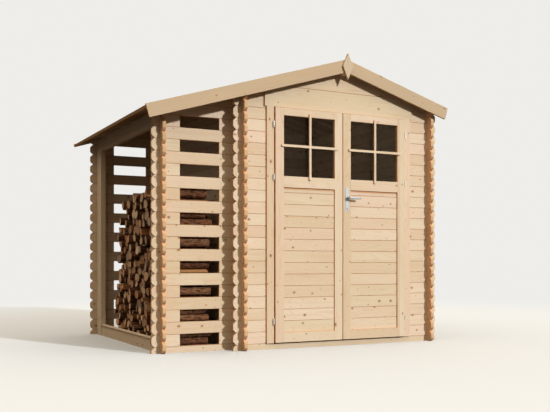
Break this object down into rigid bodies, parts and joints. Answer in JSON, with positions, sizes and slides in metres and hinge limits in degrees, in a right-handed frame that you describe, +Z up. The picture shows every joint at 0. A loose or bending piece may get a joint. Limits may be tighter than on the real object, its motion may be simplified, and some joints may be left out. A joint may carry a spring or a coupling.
{
  "type": "garden shed with open log store",
  "caption": "Garden shed of interlocking planks with glazed doors and an open-sided, slotted log store on its left under one roof, part filled with firewood.",
  "frame": {"origin": "on the ground, under the middle of the roof's outline", "axes": "+Z up, -Y out of the front with the doors, -X towards the log store"},
  "size_m": [2.7782, 2.314, 2.422],
  "materials": {
    "wall_planks": "bare planed spruce, light satin",
    "trim_boards": "bare planed spruce, light satin",
    "door_wood": "bare planed spruce, light satin",
    "roof_boards": "bare sawn spruce",
    "roofing_felt": "fine mineral grit, matt",
    "floor_boards": "bare sawn spruce",
    "window_glass": "clear, smooth",
    "hinge_steel": "zinc plated, satin",
    "lock_steel": "satin",
    "firewood": "split logs, rough ends and dark bark"
  },
  "bodies": {
    "root": {"back_wall": "wall_planks", "barge_board_back_left": "trim_boards", "barge_board_back_right": "trim_boards", "barge_board_front_left": "trim_boards", "barge_board_front_right": "trim_boards", "door_frame_hinges": "hinge_steel", "door_head": "trim_boards", "door_header_panel": "trim_boards", "door_jamb_left": "trim_boards", "door_jamb_right": "trim_boards", "door_threshold": "trim_boards", "finial_front": "trim_boards", "firewood_stack": "firewood", "floor_bearers": "floor_boards", "front_gable": "wall_planks", "front_sill_plank": "wall_planks", "front_wall_left": "wall_planks", "front_wall_right": "wall_planks", "ridge_purlin": "roof_boards", "roof_boards_left": "roof_boards", "roof_boards_right": "roof_boards", "roof_felt": "roofing_felt", "shed_floor": "floor_boards", "shed_left_wall": "wall_planks", "shed_right_wall": "wall_planks", "store_back_full_planks": "wall_planks", "store_back_short_planks_left": "wall_planks", "store_back_short_planks_right": "wall_planks", "store_corner_batten_back": "trim_boards", "store_corner_batten_front": "trim_boards", "store_front_full_planks": "wall_planks", "store_front_short_planks_left": "wall_planks", "store_front_short_planks_right": "wall_planks", "store_head_lining": "trim_boards", "store_post_back": "trim_boards", "store_post_front": "trim_boards", "store_side_head": "wall_planks", "store_side_planks_back": "wall_planks", "store_side_planks_front": "wall_planks", "store_side_sill": "wall_planks", "store_sill_cap": "trim_boards"},
    "left_door": {"left_door_glass": "window_glass", "left_door_glazing_bars": "door_wood", "left_door_hinge_knuckles": "hinge_steel", "left_door_panel": "door_wood", "left_door_rails": "door_wood", "left_door_stiles": "door_wood"},
    "right_door": {"right_door_glass": "window_glass", "right_door_glazing_bars": "door_wood", "right_door_hinge_knuckles": "hinge_steel", "right_door_panel": "door_wood", "right_door_rails": "door_wood", "right_door_stiles": "door_wood", "lock_plates": "lock_steel"},
    "door_handle": {"door_handle": "lock_steel"}
  },
  "joints": [
    {"name": "left_door_hinge", "type": "hinge", "parent": "root", "child": "left_door", "pos_m": [-0.3025, -1.064, 1], "axis": [0, 0, -1], "range_deg": [0, 150]},
    {"name": "right_door_hinge", "type": "hinge", "parent": "root", "child": "right_door", "pos_m": [0.9795, -1.064, 1], "axis": [0, 0, 1], "range_deg": [0, 150]},
    {"name": "handle_spindle", "type": "hinge", "parent": "right_door", "child": "door_handle", "pos_m": [0.38, -1.074, 1.232], "axis": [0, 1, 0], "range_deg": [0, 45], "stiffness_Nm_per_rad": 1.5, "springref_deg": -17.19}
  ]
}
